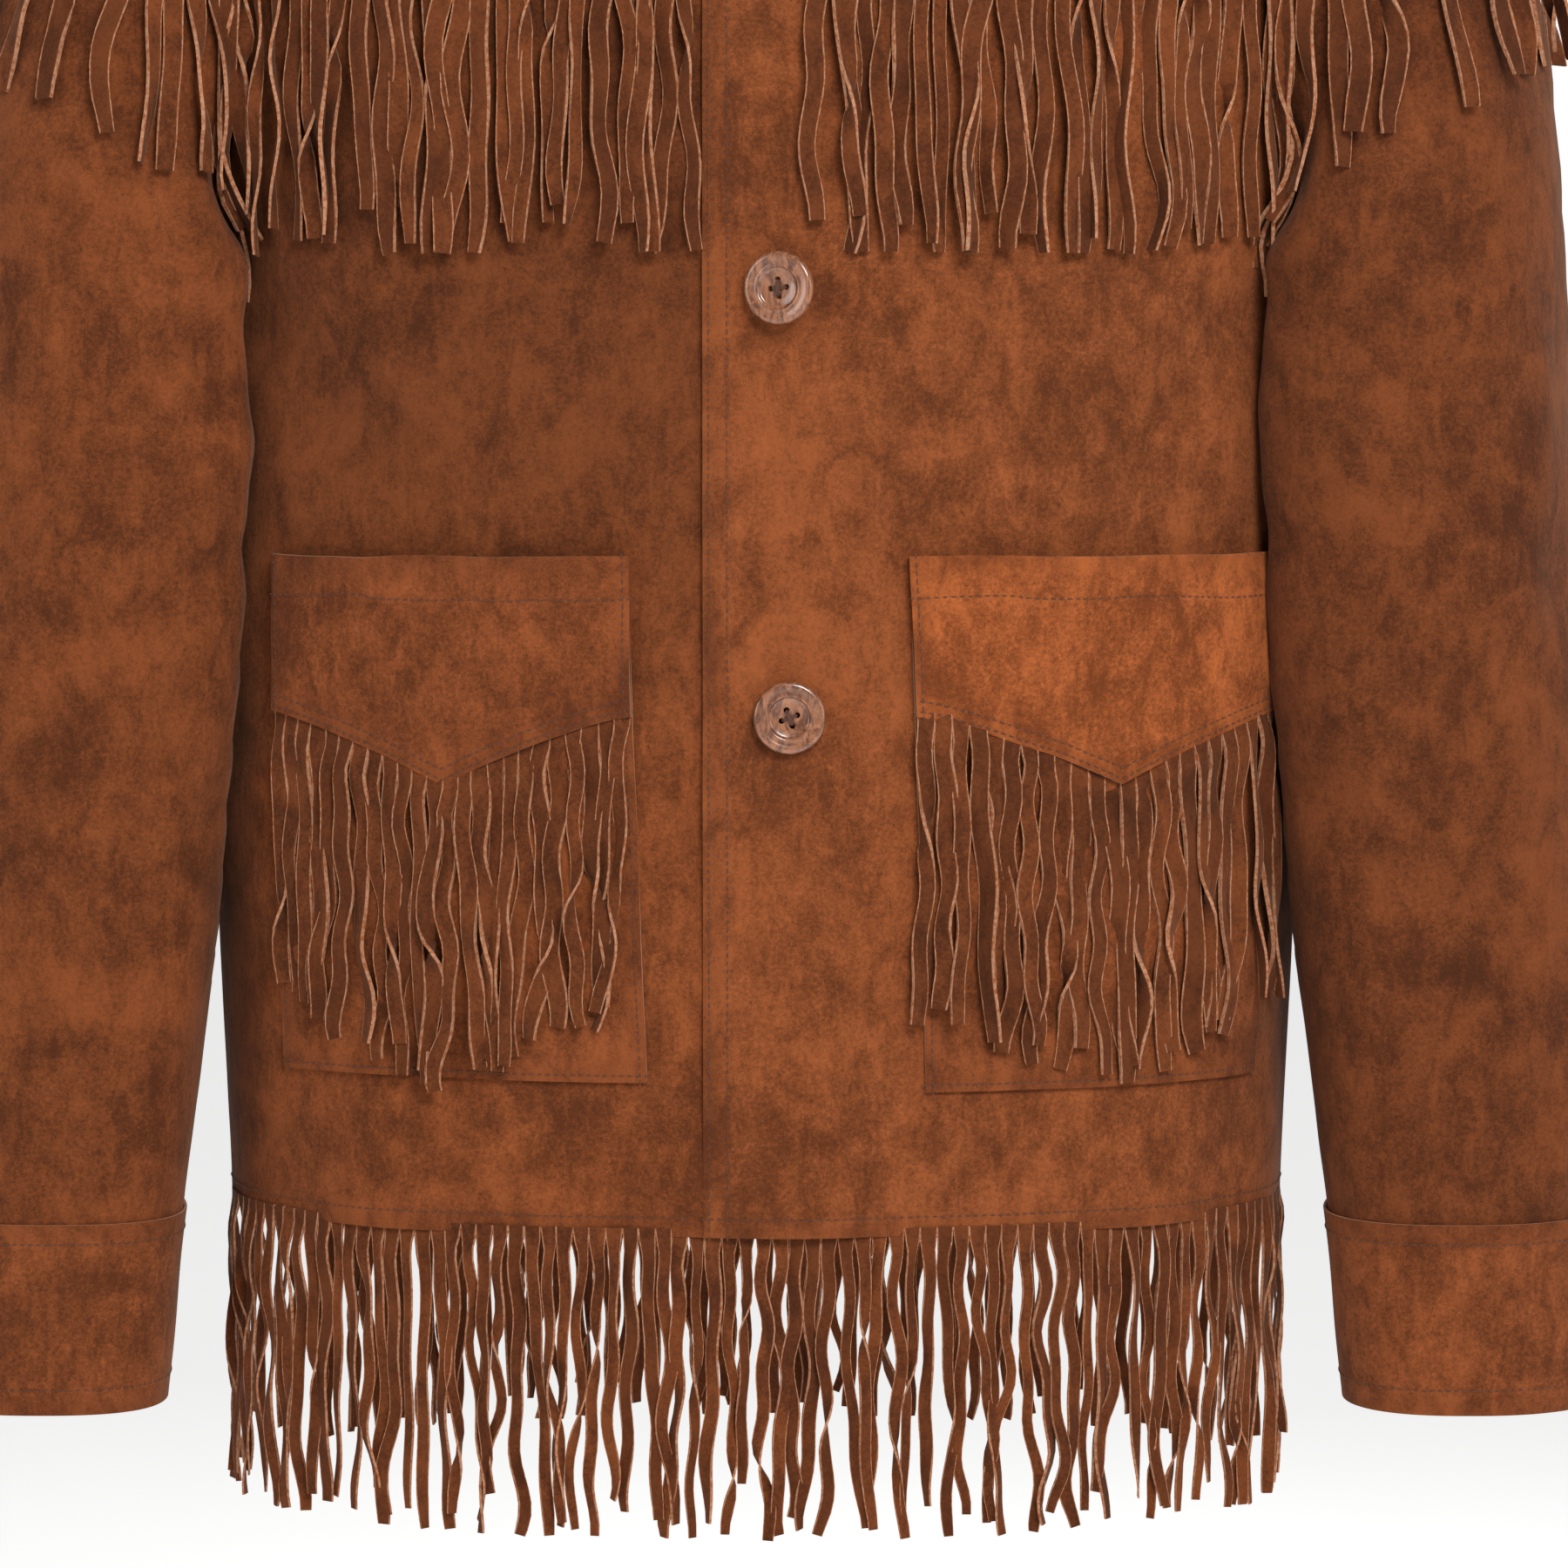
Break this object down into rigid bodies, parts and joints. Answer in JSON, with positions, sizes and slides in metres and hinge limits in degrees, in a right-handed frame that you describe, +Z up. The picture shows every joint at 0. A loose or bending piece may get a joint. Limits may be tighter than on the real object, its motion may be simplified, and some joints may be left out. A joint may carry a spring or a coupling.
{
  "type": "fringed suede jacket",
  "caption": "Hip-length suede jacket with a turned-down collar, buttoned front, pointed-yoke patch pockets, and cut fringe at the yokes, sleeve heads, pockets and hem.",
  "frame": {"origin": "the wearer's neck: midway between the inner ends of the two shoulder seams, level with them", "axes": "+Z up, -Y out of the front, +X towards the wearer's left side"},
  "size_m": [0.667, 0.2571, 0.7588],
  "materials": {
    "suede": "napped, mottled rust-brown suede",
    "fringe": "suede strips with pale raw cut edges",
    "button": "polished, marbled tan-brown"
  },
  "bodies": {
    "root": {"front_left": "suede", "front_right": "suede", "back": "suede", "yoke_left": "suede", "yoke_right": "suede", "yoke_back": "suede", "collar": "suede", "sleeve_left": "suede", "sleeve_right": "suede", "cuff_left": "suede", "cuff_right": "suede", "pocket_left": "suede", "pocket_right": "suede", "pocket_yoke_left": "suede", "pocket_yoke_right": "suede", "chest_fringe_left": "fringe", "chest_fringe_right": "fringe", "back_fringe": "fringe", "sleeve_fringe_left": "fringe", "sleeve_fringe_right": "fringe", "pocket_fringe_left": "fringe", "pocket_fringe_right": "fringe", "hem_fringe_left": "fringe", "hem_fringe_right": "fringe", "hem_fringe_back": "fringe", "button_low": "button", "button_middle": "button", "button_top": "button"}
  },
  "joints": []
}
